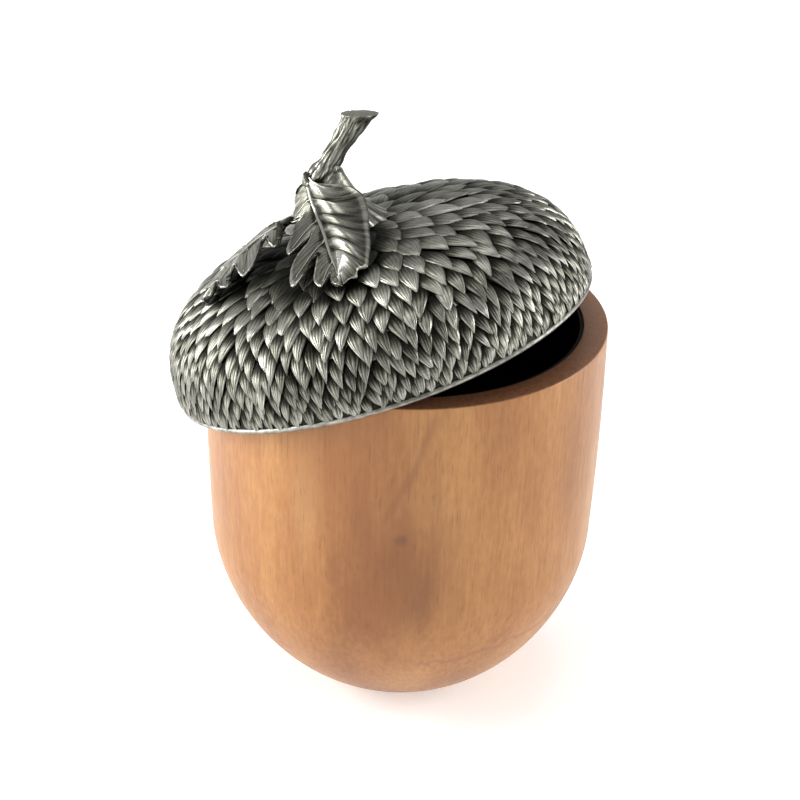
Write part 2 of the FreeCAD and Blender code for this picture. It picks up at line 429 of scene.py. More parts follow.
def scale_mesh(s0, angle0, rows, columns, ribs):
    """One pointed, ribbed scale lying on the cap, as a closed shell, with its values.

    U runs from the root (0) to the tip (1) and V across, from -1 to 1. side grows from the
    cap's top to its side, where the scales are longer, narrower and brighter at the rim.
    """
    size = math.sqrt(scale_area(s0))
    length = size * random.uniform(1.75, 2.2)
    width = size * random.uniform(1.02, 1.3)
    side = np.clip((s0 - 30) / 25, 0, 1)
    length *= 1 + 0.2 * side
    width *= 1 - 0.2 * side
    at_edge = np.clip((s0 - ARC + 6) / 4, 0, 1)
    skew = random.uniform(-0.24, 0.24) * size
    lean = random.normal(0, 0.12)
    sharpness = random.uniform(1.8, 2.4) - 0.75 * side + 1.6 * at_edge
    phase = random.uniform(0, 1)
    seed = random.uniform(0, 100)
    shade = random.uniform(-0.12, 0.1)
    s0 = min(s0, ARC_OVER_LIP - TIP_SHARE * length - random.uniform(-0.1, 0.3))
    grow = min(1.0, size / 5.6)

    # where its points lie over the cap
    u = np.linspace(0, 1, rows) ** 0.92
    v = np.linspace(-1, 1, columns)
    U, V = np.meshgrid(u, v, indexing="ij")
    half = scale_outline(u, sharpness)[:, None] * width / 2
    bend = skew * U**2 + lean * (U - 0.5) * length
    across = V * half + bend
    along = s0 + (U - 1 + TIP_SHARE) * length
    radius = np.maximum(outline_at(np.clip(along, 1.0, ARC))[0], 2.0)

    # how high they stand: a rise from the ground, a crowned back, ribs and a raised rim
    ground = -relief_at(np.clip(along, 0, ARC))
    top = 0.05 + random.uniform(-0.38, 0.08) * grow
    lift = ground + 0.1 + (top - ground - 0.1) * np.sin(np.clip(U / 0.85, 0, 1) * math.pi / 2)
    droop = 0.35 * grow * np.clip((U - 0.7) / 0.3, 0, 1) ** 2
    crown = 0.75 * grow * (1 - np.abs(V) ** 2.4) * (1 - 0.45 * U**3)
    wander = 0.3 * np.sin(U * 4 + phase * 9) * (1 - U) + 0.2 * np.sin(V * 3 + phase * 17)
    groove = np.abs(np.sin((V * ribs / 2 + wander + phase) * math.pi)) ** 0.7
    rib_depth = (0.12 + 0.10 * side) * grow * np.clip(U * 3, 0, 1) * (1 - 0.5 * U**4)
    patchy = 0.6 + 0.4 * np.sin(U * 9 + np.sign(V) * 2 + phase * 20)
    rim = np.exp(-(((np.abs(V) - 0.82) / 0.1) ** 2)) * np.clip(U * 1.5 - 0.3, 0, 1) * patchy
    height = lift - droop + crown - 0.5 * grow + rib_depth * (groove - 0.7) + 0.13 * grow * rim
    height = np.minimum(height, 0.12)
    top_points = cap_point(along, angle0 + across / radius, height).reshape(-1, 3)

    # the underside, tucked in a little along both edges
    thickness = 0.5 * grow + 0.2
    edge = [0, columns - 1]
    under_across = V[:, edge] * half * 0.9 + bend[:, edge]
    under_height = np.maximum(height[:, edge] - thickness, ground[:, edge] - 0.25)
    under = cap_point(along[:, edge], angle0 + under_across / radius[:, edge], under_height)
    under_points = under.reshape(-1, 3)

    # how bright it is: ribs, rim and tip rubbed bright; root, edges and underside dark, partly patina and
    # partly painted shade in the crevices; painted shade under the leaves
    wear_and_shade = 0.46 - 0.10 * side + (0.12 + 0.34 * side) * rim
    wear_and_shade = wear_and_shade + (0.16 + 0.16 * side) * (groove - 0.6) * np.clip(U * 2, 0, 1)
    # patina and painted shade at the root, tucked under the tips above, and along the edges
    wear_and_shade = wear_and_shade + 0.16 * (1 - V**2) * U - 0.7 * np.clip((0.6 - U) / 0.6, 0, 1)
    wear_and_shade = wear_and_shade - 0.5 * np.clip((np.abs(V) - 0.92) / 0.08, 0, 1) + shade
    # painted shade on the scales under the leaves
    wear_and_shade = wear_and_shade - 0.4 * leaf_shade(top_points[:, 0], top_points[:, 1]).reshape(wear_and_shade.shape)
    # the underside is near black: patina and painted shade
    tone = np.concatenate([np.clip(wear_and_shade, 0, 1).ravel(), np.full(len(under_points), 0.02)])
    strand = np.concatenate([(V * width / 2).ravel() + seed, np.full(len(under_points), seed)])
    run = np.concatenate([(U * length).ravel(), np.zeros(len(under_points))])
    return np.vstack([top_points, under_points]), scale_faces(rows, columns), tone, strand, run


def make_scales():
    """All scales, grouped into a few pieces by how far they lie from the crown."""
    arcs, angles = scale_seeds()
    # name, the arc lengths it spans, and each scale's rows, columns and ribs
    bands = [
        ("scales_crown", 0, 30, (14, 31, 6)),
        ("scales_upper", 30, 43, (14, 31, 6)),
        ("scales_shoulder", 43, 54, (13, 27, 5)),
        ("scales_side", 54, 62, (11, 23, 4)),
        ("scales_edge", 62, ARC + 1, (9, 17, 3)),
    ]
    for name, low, high, grid in bands:
        shells = Shells()
        for s0, angle0 in zip(arcs, angles):
            if low <= s0 < high:
                shells.add(*scale_mesh(s0, angle0, *grid))
        shells.piece(name)


# ---- stem ----

STEM_LEAN = 50.0
STEM_LEAN_HEADING = 208.0
STEM_BEND_HEIGHT = 15.5
TWIG_LENGTH = 15.0
HEEL = (4.6, 3.0, LID_HEIGHT + 13.3)
HEEL_RADIUS = 1.85
CUT_SLOPE = 0.62
STEM_VOXEL = 0.2
# (height over the crown, radius), from inside the cap's shell up to the bend
NECK_RADII = [
    (-2.4, 11.6), (-1.0, 10.6), (0.6, 8.9), (3.0, 6.9),
    (6.0, 5.3), (9.0, 4.2), (12.0, 3.4), (STEM_BEND_HEIGHT, 2.6),
]
# (distance past the bend, radius), from the heel to the cut end
TWIG_RADII = [
    (-4.2, 1.7), (-2.5, 2.35), (0.0, 2.65), (5.0, 2.6),
    (9.0, 2.85), (12.5, 3.35), (TWIG_LENGTH, 4.0),
]


def twig_direction():
    lean = math.radians(STEM_LEAN)
    heading = math.radians(STEM_LEAN_HEADING)
    flat = math.sin(lean)
    return np.array([flat * math.cos(heading), flat * math.sin(heading), math.cos(lean)])


def smooth_curve(points, at):
    """Catmull-Rom curve through the points, at parameters that count them from 0."""
    p = np.asarray(points, float)
    p = np.vstack([2 * p[0] - p[1], p, 2 * p[-1] - p[-2]])
    at = np.asarray(at, float)
    k = np.clip(at.astype(int), 0, len(points) - 2)
    f = (at - k)[:, None]
    a, b, c, d = p[k], p[k + 1], p[k + 2], p[k + 3]
    square = 2 * a - 5 * b + 4 * c - d
    cube = 3 * b - a - 3 * c + d
    return 0.5 * (2 * b + (c - a) * f + square * f**2 + cube * f**3)


def tube(path, radii, segments, normal=(0, 0, 1)):
    """A round bar along a path, closed at both ends; normal sets where its rings start."""
    path = np.asarray(path, float)
    tangent = np.gradient(path, axis=0)
    tangent /= np.linalg.norm(tangent, axis=1)[:, None]
    side = np.cross(tangent, np.asarray(normal, float))
    side /= np.linalg.norm(side, axis=1)[:, None]
    up = np.cross(side, tangent)
    a = np.linspace(0, 2 * math.pi, segments, endpoint=False)[None, :, None]
    ring = np.cos(a) * side[:, None] + np.sin(a) * up[:, None]
    points = path[:, None] + ring * np.asarray(radii, float)[:, None, None]
    faces = grid_faces(len(path), segments, closed=True)
    faces.append(tuple(range(segments - 1, -1, -1)))
    last = (len(path) - 1) * segments
    faces.append(tuple(range(last, last + segments)))
    return points.reshape(-1, 3), faces


def fused(shells, voxel):
    """Closed shells melted into one by a voxel remesh: its points, normals and faces."""
    mesh = bpy.data.meshes.new("melt")
    points = []
    faces = []
    for part, part_faces in shells:
        faces += [tuple(k + len(points) for k in face) for face in part_faces]
        points += np.asarray(part).tolist()
    mesh.from_pydata(points, [], faces)
    holder = add_object("melt", mesh)
    remesh = holder.modifiers.new("melt", "REMESH")
    remesh.mode = "VOXEL"
    remesh.voxel_size = voxel
    soften = holder.modifiers.new("soften", "SMOOTH")
    soften.iterations = 4
    bpy.context.view_layer.update()
    done = holder.evaluated_get(bpy.context.evaluated_depsgraph_get()).to_mesh()
    melted = np.empty(len(done.vertices) * 3)
    normals = np.empty(len(done.vertices) * 3)
    done.vertices.foreach_get("co", melted)
    done.vertices.foreach_get("normal", normals)
    melted_faces = [tuple(face.vertices) for face in done.polygons]
    bpy.data.objects.remove(holder)
    bpy.data.meshes.remove(mesh)
    return melted.reshape(-1, 3), normals.reshape(-1, 3), melted_faces


def neck_shell():
    """The neck: it flares down into the cap's crown and closes at the bend."""
    low, high = NECK_RADII[0][0], NECK_RADII[-1][0]
    heights = np.linspace(low, high, 50)
    radii = smooth_interp(NECK_RADII, heights)
    profile = [(0.0, LID_HEIGHT + low)]
    profile += [(r, LID_HEIGHT + h) for h, r in zip(heights, radii)]
    profile.append((0.0, LID_HEIGHT + high))
    return lathe(profile, 72)


def smooth_interp(table, x):
    """Smooth curve through a table of (place, value), read at the places x."""
    table = np.asarray(table, float)
    knots = np.interp(x, table[:, 0], np.arange(len(table)))
    return smooth_curve(table, knots)[:, 1]


def twig_shell():
    """The twig from its heel past the bend to the slanted cut end."""
    segments = 48
    slanted_length = 4.0
    along = twig_direction()
    heel = np.array(HEEL)
    corner = np.array([0, 0, LID_HEIGHT + STEM_BEND_HEIGHT])
    # the knots' distances past the bend, less than 0 towards the heel
    places = [-4.2, -2.3, 0, 5, 10, TWIG_LENGTH]
    knots = [heel, corner * 0.45 + heel * 0.55] + [corner + along * place for place in places[2:]]
    t = np.linspace(0, len(places) - 1, 60)
    path = smooth_curve(knots, t)
    distance = np.interp(t, np.arange(len(places)), places)
    points, faces = tube(path, smooth_interp(TWIG_RADII, distance), segments, (0.3, -1, 0))
    rings = points.reshape(len(path), segments, 3)
    slope = cut_slope()
    for k, ring in enumerate(rings):
        share = np.clip((distance[k] - TWIG_LENGTH) / slanted_length + 1, 0, 1)
        rings[k] = ring - along * ((ring - path[k]) @ slope)[:, None] * share
    return rings.reshape(-1, 3), faces


def heel_ball():
    """Rounds off the twig's lower end, where the front leaf's midrib grows from it."""
    a = np.linspace(-math.pi / 2, math.pi / 2, 13)
    points, faces = lathe(np.column_stack([HEEL_RADIUS * np.cos(a), HEEL_RADIUS * np.sin(a)]), 24)
    return np.asarray(points, float) + HEEL, faces


def cut_slope():
    """How the cut end slopes: along the part of the cap's axis that lies across the twig."""
    along = twig_direction()
    across = np.array([0.0, 0.0, 1.0]) - along * along[2]
    return across / np.linalg.norm(across) * CUT_SLOPE


def bark(point):
    """The bark at a point of the stem: depth of coarse and fine furrows, height of knots."""
    along = twig_direction()
    drawn_out = point - along * (point @ along) * 0.9
    coarse = noise.noise(Vector(drawn_out * 0.9))
    fine = noise.noise(Vector(drawn_out * 2.3 + 30))
    knots = noise.noise(Vector(point * 0.45 + 70))
    return 0.16 * (1 - 3.2 * abs(coarse)), 0.10 * (1 - 3.0 * abs(fine)), 0.3 * knots


def make_stem():
    """Neck, twig and heel as one mesh, with bark on the twig and soft rays on the neck."""
    points, normals, faces = fused([neck_shell(), twig_shell(), heel_ball()], STEM_VOXEL)
    bark_height = 11.0
    ray_height = 6.0
    cut_from = TWIG_LENGTH - 2.2
    corner = [0, 0, LID_HEIGHT + STEM_BEND_HEIGHT]
    along = twig_direction()
    tone = np.empty(len(points))
    moved = points.copy()
    for k, (point, normal) in enumerate(zip(points, normals)):
        height = point[2] - LID_HEIGHT
        heading = math.atan2(point[1], point[0])
        barky = np.clip((height - bark_height) / 3, 0, 1)
        coarse, fine, knots = bark(point)
        swirl = math.sin(heading * 17 + height * 0.5) + 0.6 * math.sin(heading * 31 + 2)
        rays = 0.13 * swirl * np.clip((ray_height - height) / 5, 0, 1)
        on_cut = np.clip(normal @ along * 2.4 - 1.4, 0, 1) * ((point - corner) @ along > cut_from)
        barky *= 1 - on_cut
        moved[k] = point + normal * (rays + barky * (knots - coarse - fine))
        tone[k] = 0.55 - 1.5 * barky * (coarse + fine) + 1.6 * rays + 0.1 * on_cut
    shells = Shells()
    shells.add(moved, faces, np.clip(tone, 0, 1))
    shells.piece("twig_stem", ["stem_twig"])


# ---- leaves ----

LEAF_THICKNESS = 0.62
VEIN_RADII = (0.26, 0.13)
VEIN_TONE = 0.62
MIDRIB_RADII = (0.72, 0.3)
MIDRIB_TONE = 0.72
MIDRIB_STEPS = 60


def over_cap(points):
    """Turns (x, y, height over the cap) into points of the cap's frame."""
    points = np.array(points, float)
    points[..., 2] += dome_height(np.hypot(points[..., 0], points[..., 1]))
    return points


def grid_normals(points):
    """Unit normals of a grid of points, from its rows and columns."""
    normals = np.cross(np.gradient(points, axis=0), np.gradient(points, axis=1))
    return normals / (np.linalg.norm(normals, axis=2)[..., None] + 1e-9)


def leaf_sheet(midrib, edge, middle, t, columns):
    """Grid of points of half a leaf: each row bends from the midrib by the middle to the edge."""
    place = np.interp(t, np.arange(len(edge)), edge[:, 0])
    rib = smooth_curve(midrib, place)
    rim = smooth_curve(edge[:, 1:], t)
    if middle is None:
        centre = (rib + rim) / 2 + [0, 0, 0.25]
    else:
        middle = np.asarray(middle, float)
        knots = np.interp(place, middle[:, 0], np.arange(len(middle)))
        centre = smooth_curve(middle[:, 1:], knots)
    w = np.linspace(0, 1, columns)[None, :, None]
    sheet = rib[:, None] * (1 - w) * (1 - 2 * w) + 4 * centre[:, None] * w * (1 - w)
    return sheet + rim[:, None] * w * (2 * w - 1)


def leaf_half(shells, midrib, edge, middle, veins, swell, curl, brightness, seed, side):
    """One side of a leaf, from its midrib out to a lobed edge, as a closed shell.

    edge and middle list (place along the midrib, x, y, height over the cap); veins are the
    edge points, counted from 0, that a side vein runs to. swell is how far the leaf puffs up
    between veins and curl how far its edge lifts. Its base brightness is how bright it is
    polished, set higher on the left leaf as painted light. side is 1 or -1, by the way the
    faces have to turn. Returns the veins' lines.
    """
    rows_per_point = 9
    rows = len(edge) * rows_per_point
    columns = 29
    edge = np.asarray(edge, float)
    t = np.linspace(0, len(edge) - 1, rows)
    sheet = leaf_sheet(midrib, edge, middle, t, columns)
    w = np.linspace(0, 1, columns)[None, :]
    gap = np.min([np.abs(t - at) for at in veins], axis=0)[:, None]
    between = np.clip(gap / 1.1, 0, 1)
    puff = swell * 6.75 * w * (1 - w) ** 2 * (0.1 + 0.9 * between**0.8)
    valley = -0.22 * np.exp(-((gap / 0.3) ** 2)) * np.clip(w * 4, 0, 1) * (1 - w)
    beside = -0.35 * np.exp(-(((w - 0.10) / 0.06) ** 2))
    bead = 0.28 * np.exp(-(((w - 0.95) / 0.035) ** 2))
    fibre = 0.035 * np.sin(t[:, None] * 12 + 8 * w + seed)
    relief = puff + valley + beside + bead + curl * w**5 + fibre
    sheet[..., 2] = np.maximum(sheet[..., 2] + relief, 0.15)
    top = over_cap(sheet)
    under = top - grid_normals(top) * side * LEAF_THICKNESS

    count = rows * columns
    faces = grid_faces(rows, columns) + grid_faces(rows, columns, start=count, flip=True)
    border = list(range(columns)) + [i * columns + columns - 1 for i in range(1, rows)]
    border += [(rows - 1) * columns + j for j in range(columns - 2, -1, -1)]
    border += [i * columns for i in range(rows - 2, 0, -1)]
    for a, b in zip(border, border[1:] + border[:1]):
        faces.append((a, a + count, b + count, b))
    if side < 0:
        faces = [face[::-1] for face in faces]

    # painted highlights on the puffed lumps; painted shade on the puffed half's outer part, in the veins'
    # valleys and in the groove beside the midrib; the bead is rubbed bright
    shade = brightness + 0.28 * puff - 0.12 * np.clip(swell - 1, 0, 1) * w
    shade = shade + 1.6 * bead + 0.9 * beside + 1.3 * valley + 2 * fibre
    # the underside is darker, partly patina and partly painted shade
    tone = np.concatenate([np.clip(shade, 0, 1).ravel(), np.full(count, 0.25)])
    strand = np.tile(np.repeat(t * 1.1 + seed, columns), 2)
    run = np.tile(w.ravel() * 8, 2 * rows)
    shells.add(np.vstack([top.reshape(-1, 3), under.reshape(-1, 3)]), faces, tone, strand, run)
    vein_rows = [int(round(at / (len(edge) - 1) * (rows - 1))) for at in veins]
    return [top[row, : columns - 5] + [0, 0, 0.08] for row in vein_rows]


def make_leaf(name, node, midrib, halves):
    """A leaf of two halves. Its midrib is a raised bar, and so are a flat half's side veins."""
    shells = Shells()
    bars = []
    for half in halves:
        lines = leaf_half(shells, midrib, **half)
        if half["swell"] < 0.5:
            bars += lines
    for line in bars:
        points, faces = tube(line, np.linspace(*VEIN_RADII, len(line)), 8)
        shells.add(points, faces, VEIN_TONE)
    rib = over_cap(smooth_curve(midrib, np.linspace(0, len(midrib) - 1.35, MIDRIB_STEPS)))
    pointed_start = np.linspace(0.2, 8, MIDRIB_STEPS)
    radii = np.minimum(np.linspace(*MIDRIB_RADII, MIDRIB_STEPS), pointed_start)
    points, faces = tube(rib, radii, 12)
    shells.add(points, faces, MIDRIB_TONE)
    shells.piece(name, [node])


def make_front_leaf():
    """Down the front: lobed on one side; the other side is puffed and wraps the neck's foot."""
    midrib = [
        (4.9, 3.4, 13.4), (4.9, 4.4, 9.8), (3.4, 7.4, 5.9), (-1.3, 16.5, 3.9),
        (-5.3, 25.0, 3.1), (-8.1, 30.3, 2.3), (-10.9, 36.3, 1.5),
    ]
    lobed = [
        (0.0, 5.2, 3.2, 13.4), (0.3, 9.3, 2.2, 11.2), (0.7, 11.9, 2.2, 6.6), (1.0, 12.2, 4.6, 4.4),
        (1.2, 10.4, 5.0, 5.0), (1.35, 8.8, 5.6, 5.2), (1.5, 10.0, 6.6, 4.2), (1.65, 10.4, 8.6, 4.0),
        (1.8, 9.8, 12.6, 3.1), (2.0, 9.2, 17.4, 2.6), (2.15, 7.8, 20.6, 2.3), (2.3, 6.2, 19.8, 2.6),
        (2.45, 3.2, 14.4, 3.4), (2.65, 2.9, 18.4, 3.0), (2.8, 4.4, 23.4, 2.4), (3.0, 4.4, 28.8, 2.0),
        (3.2, 2.6, 34.6, 1.6), (3.4, 0.5, 33.0, 1.8), (3.6, -0.5, 28.4, 2.3), (3.8, -1.9, 25.2, 2.7),
        (4.0, -2.6, 29.4, 2.2), (4.2, -3.4, 34.2, 1.6), (4.5, -5.9, 36.3, 1.5), (4.85, -7.4, 32.8, 2.1),
        (5.4, -8.9, 35.7, 1.6), (6.0, -10.9, 36.5, 1.5),
    ]
    puffed = [
        (0.0, 4.7, 3.6, 13.4), (0.2, 0.8, 4.6, 12.6), (0.45, -3.9, 1.9, 10.2), (0.85, -6.2, -0.4, 6.6),
        (1.5, -8.2, 3.6, 3.6), (2.2, -11.6, 13.4, 2.3), (2.8, -14.0, 20.0, 1.8), (3.3, -15.4, 26.0, 1.6),
        (3.8, -16.0, 30.0, 1.5), (4.3, -14.2, 31.5, 1.8), (4.8, -14.3, 33.7, 1.5), (5.3, -12.7, 34.3, 1.6),
        (6.0, -11.0, 36.4, 1.5),
    ]
    across = [
        (0.0, 4.6, 4.2, 13.4), (0.45, 1.0, 6.2, 10.6), (0.85, -1.0, 7.2, 8.4), (1.5, -2.6, 9.2, 6.4),
        (2.2, -5.4, 14.2, 4.8), (3.0, -8.6, 21.0, 3.9), (3.8, -11.2, 27.4, 3.2), (4.6, -11.6, 31.4, 2.5),
        (6.0, -10.9, 36.3, 1.6),
    ]
    make_leaf("oak_leaf_front", "leaf_front", midrib, [
        {"edge": lobed, "middle": None, "veins": (3, 10, 16, 22), "swell": 0.15,
         "curl": 0.25, "brightness": 0.40, "seed": 3.0, "side": -1},
        {"edge": puffed, "middle": across, "veins": (3, 4.4, 5.3, 6.6, 8), "swell": 2.5,
         "curl": -0.2, "brightness": 0.38, "seed": 11.0, "side": 1},
    ])


def make_left_leaf():
    """Towards the low side, its near edge ruffled and lifted clear of the scales."""
    midrib = [
        (4.8, 1.8, 8.0), (10.6, 3.6, 5.4), (16.2, 7.6, 5.0), (20.8, 13.0, 4.7),
        (24.8, 18.6, 3.4), (27.8, 22.8, 2.4), (30.4, 26.4, 1.4),
    ]
    near = [
        (0.0, 5.0, 2.2, 7.8), (0.5, 9.6, 6.0, 4.0), (0.8, 13.2, 5.6, 4.2), (1.0, 15.0, 6.4, 4.4),
        (1.2, 13.9, 8.6, 4.6), (1.45, 12.3, 13.2, 3.6), (1.7, 11.7, 18.0, 3.0), (1.95, 13.8, 16.6, 4.6),
        (2.15, 15.8, 12.8, 4.8), (2.35, 17.4, 13.4, 3.6), (2.6, 16.4, 19.2, 3.0), (2.85, 16.8, 24.2, 2.4),
        (3.1, 18.2, 26.6, 2.2), (3.4, 20.4, 24.2, 3.6), (3.6, 22.0, 21.6, 3.7), (3.8, 23.2, 23.4, 2.6),
        (4.1, 22.4, 27.8, 1.9), (4.5, 24.8, 27.4, 2.6), (4.9, 27.0, 24.2, 2.7), (5.4, 28.0, 26.8, 1.6),
        (6.0, 30.2, 26.6, 1.4),
    ]
    far = [
        (0.0, 5.2, 1.4, 7.8), (0.5, 9.0, -1.0, 5.4), (0.9, 15.0, -0.4, 4.4), (1.3, 16.6, 3.8, 5.0),
        (1.7, 20.6, 2.6, 4.2), (2.1, 24.6, 5.2, 3.0), (2.5, 23.2, 9.6, 4.0), (2.9, 27.0, 9.2, 2.8),
        (3.3, 31.0, 12.4, 1.8), (3.7, 28.0, 15.8, 2.8), (4.2, 30.6, 16.6, 2.0), (4.7, 33.2, 19.8, 1.2),
        (5.1, 30.4, 21.8, 2.0), (5.5, 32.4, 24.2, 1.2), (6.0, 30.8, 26.2, 1.4),
    ]
    # painted light: both halves get a higher base brightness than the front leaf's, as this leaf faces the
    # lamps
    make_leaf("oak_leaf_left", "leaf_left", midrib, [
        {"edge": near, "middle": None, "veins": (3, 6, 12, 17), "swell": 0.35,
         "curl": 1.2, "brightness": 0.62, "seed": 23.0, "side": 1},
        {"edge": far, "middle": None, "veins": (2, 5, 8, 11), "swell": 0.3,
         "curl": 0.2, "brightness": 0.55, "seed": 31.0, "side": -1},
    ])


# ---- materials ----

def fill_ramp(node, stops):
    """Gives a colour ramp node its stops, each a place and a colour."""
    elements = node.color_ramp.elements
    while len(elements) < len(stops):
        elements.new(0.5)
    for element, (at, colour) in zip(elements, stops):
        element.position = at
        element.color = (*colour, 1)


class Nodes:
    """A material's node tree with short calls for adding and joining nodes."""

    def __init__(self, name):
        self.material = bpy.data.materials.new(name)
        self.material.use_nodes = True
        self.tree = self.material.node_tree
        self.shader = self.tree.nodes["Principled BSDF"]

    def add(self, kind, **settings):
        node = self.tree.nodes.new(kind)
        for key, value in settings.items():
            setattr(node, key, value)
        return node

    def join(self, output, socket):
        self.tree.links.new(output, socket)

    def put(self, value, socket):
        """Joins a node's output to the socket, or sets a colour or a number on it."""
        if isinstance(value, bpy.types.NodeSocket):
            self.join(value, socket)
        elif isinstance(value, tuple):
            socket.default_value = (*value, 1)
        else:
            socket.default_value = value

    def surface(self, **values):
        """Sets the shader's sockets: Base_Color stands for its socket Base Color."""
        for name, value in values.items():
            self.put(value, self.shader.inputs[name.replace("_", " ")])

    def position(self, scale=(1, 1, 1)):
        """Object coordinates in millimetres, stretched by scale."""
        place = self.add("ShaderNodeTexCoord")
        mapping = self.add("ShaderNodeMapping")
        mapping.inputs["Scale"].default_value = [1000 * s for s in scale]
        self.join(place.outputs["Object"], mapping.inputs["Vector"])
        return mapping.outputs["Vector"]

    def noise(self, vector, scale, detail=3.0, roughness=0.5):
        node = self.add("ShaderNodeTexNoise")
        node.inputs["Scale"].default_value = scale
        node.inputs["Detail"].default_value = detail
        node.inputs["Roughness"].default_value = roughness
        self.join(vector, node.inputs["Vector"])
        return node.outputs["Fac"]

    def ramp(self, value, stops):
        node = self.add("ShaderNodeValToRGB")
        fill_ramp(node, stops)
        self.join(value, node.inputs["Fac"])
        return node.outputs["Color"]

    def grey_ramp(self, value, stops):
        return self.ramp(value, [(at, (grey, grey, grey)) for at, grey in stops])

    def fade(self, value, full, gone):
        """1 where value is full, easing to 0 where it is gone."""
        node = self.add("ShaderNodeMapRange", interpolation_type="SMOOTHSTEP")
        for name, place in (("From Min", full), ("From Max", gone), ("To Min", 1.0), ("To Max", 0.0)):
            node.inputs[name].default_value = place
        self.join(value, node.inputs["Value"])
        return node.outputs["Result"]

    def mix(self, a, b, factor):
        node = self.add("ShaderNodeMix", data_type="RGBA")
        self.put(factor, node.inputs[0])
        self.put(a, node.inputs[6])
        self.put(b, node.inputs[7])
        return node.outputs[2]

    def tint(self, colour, shade, mask, share):
        """The colour with a share of the shade mixed in where the mask is 1."""
        return self.mix(colour, shade, self.maths("MULTIPLY", mask, share))

    def maths(self, operation, a, b=0.0, c=0.0, clamp=False):
        node = self.add("ShaderNodeMath", operation=operation, use_clamp=clamp)
        for value, socket in zip((a, b, c), node.inputs):
            self.put(value, socket)
        return node.outputs[0]

    def add_spread(self, value, share, base):
        """base plus a share of how far the value is from one half."""
        return self.maths("MULTIPLY_ADD", self.maths("SUBTRACT", value, 0.5), share, base)

    def attribute(self, name):
        return self.add("ShaderNodeAttribute", attribute_name=name).outputs["Fac"]

    def bump(self, height, strength, distance):
        node = self.add("ShaderNodeBump")
        node.inputs["Strength"].default_value = strength
        node.inputs["Distance"].default_value = distance
        self.join(height, node.inputs["Height"])
        return node.outputs["Normal"]

    def distance(self, where, centre, radii):
        """Distance from a centre in millimetres, 1 on an ellipsoid with the radii given."""
        for operation, by in (("SUBTRACT", centre), ("DIVIDE", radii)):
            node = self.add("ShaderNodeVectorMath", operation=operation)
            self.join(where, node.inputs[0])
            node.inputs[1].default_value = by
            where = node.outputs[0]
        length = self.add("ShaderNodeVectorMath", operation="LENGTH")
        self.join(where, length.inputs[0])
        return length.outputs["Value"]


_made = {}


def once(make):
    """Builds a material the first time it is asked for and hands the same one out afterwards."""
    def get():
        if make.__name__ not in _made:
            _made[make.__name__] = make()
        return _made[make.__name__]
    return get


@once
def pewter_material():
    """Antiqued pewter: near black in the recesses, from patina and painted shade; rubbed bright on what
    stands out, and lighter where painted highlights are set in its tone.
    """
    n = Nodes("antique_pewter")
    where = n.position()
    cloudy = n.noise(where, 0.07)
    speck = n.noise(where, 2.6)
    lines = n.add("ShaderNodeCombineXYZ")
    n.join(n.maths("MULTIPLY", n.attribute("strand"), 7.0), lines.inputs["X"])
    n.join(n.maths("MULTIPLY", n.attribute("run"), 0.35), lines.inputs["Y"])
    scratches = n.noise(lines.outputs["Vector"], 1.0, 2.0)
    # the tone carries wear and patina, and painted shade, painted highlights and painted light too
    metal_brightness = n.add_spread(cloudy, 0.30, n.attribute("tone"))
    metal_brightness = n.add_spread(speck, 0.20, metal_brightness)
    metal_brightness = n.add_spread(scratches, 0.62, metal_brightness)
    colour = n.ramp(metal_brightness, [
        (0.0, (0.008, 0.008, 0.006)),
        (0.25, (0.045, 0.044, 0.034)),
        (0.48, (0.205, 0.204, 0.170)),
        (0.72, (0.44, 0.437, 0.385)),
        (1.0, (0.84, 0.83, 0.77)),
    ])
    roughness = n.grey_ramp(metal_brightness, [(0.0, 0.62), (0.5, 0.38), (1.0, 0.24)])
    relief = n.maths("ADD", n.maths("MULTIPLY", speck, 0.5), scratches)
    n.surface(Base_Color=colour, Roughness=roughness, Metallic=1.0, Normal=n.bump(relief, 0.35, 0.00012))
    return n.material


@once
def lip_material():
    """The same metal, plain and polished, for the cap's bottom band."""
    n = Nodes("bright_pewter")
    brightness = n.noise(n.position(), 0.5, 4.0)
    colour = n.ramp(brightness, [(0.3, (0.16, 0.158, 0.14)), (0.7, (0.42, 0.415, 0.37))])
    roughness = n.grey_ramp(brightness, [(0.3, 0.5), (0.7, 0.36)])
    n.surface(Base_Color=colour, Roughness=roughness, Metallic=1.0, Normal=n.bump(brightness, 0.3, 0.0002))
    return n.material


@once
def screw_material():
    n = Nodes("plain_steel")
    turned = n.noise(n.position(), 1.5, 2.0)
    colour = n.ramp(turned, [(0.3, (0.45, 0.45, 0.46)), (0.7, (0.66, 0.66, 0.67))])
    roughness = n.grey_ramp(turned, [(0.3, 0.42), (0.7, 0.28)])
    n.surface(Base_Color=colour, Roughness=roughness, Metallic=1.0)
    return n.material


@once
def liner_material():
    n = Nodes("black_liner")
    cloud = n.noise(n.position(), 0.12)
    colour = n.grey_ramp(cloud, [(0.3, 0.004), (0.7, 0.009)])
    roughness = n.grey_ramp(cloud, [(0.3, 0.55), (0.7, 0.68)])
    n.surface(Base_Color=colour, Roughness=roughness, Specular_IOR_Level=0.12)
    return n.material


# patches in the wood's colour: centre and radii in millimetres, the distances between which
# the patch fades out, its colour and how much of it is mixed in
WOOD_PATCHES = [
    # a pale streak on the left
    ((-23, -42, 72), (5, 30, 22), (0.4, 1.7), (0.50, 0.275, 0.11), 0.45),
    # heartwood red in the middle, first its faint upper part, then the lower one and its core
    ((-12, -48, 84), (19, 30, 22), (0.6, 1.7), (0.255, 0.095, 0.028), 0.55),
    ((-1, -48, 53), (17, 30, 31), (0.6, 1.6), (0.200, 0.064, 0.018), 0.74),
    ((6, -48, 47), (4, 30, 13), (0.5, 1.7), (0.15, 0.050, 0.018), 0.4),
]


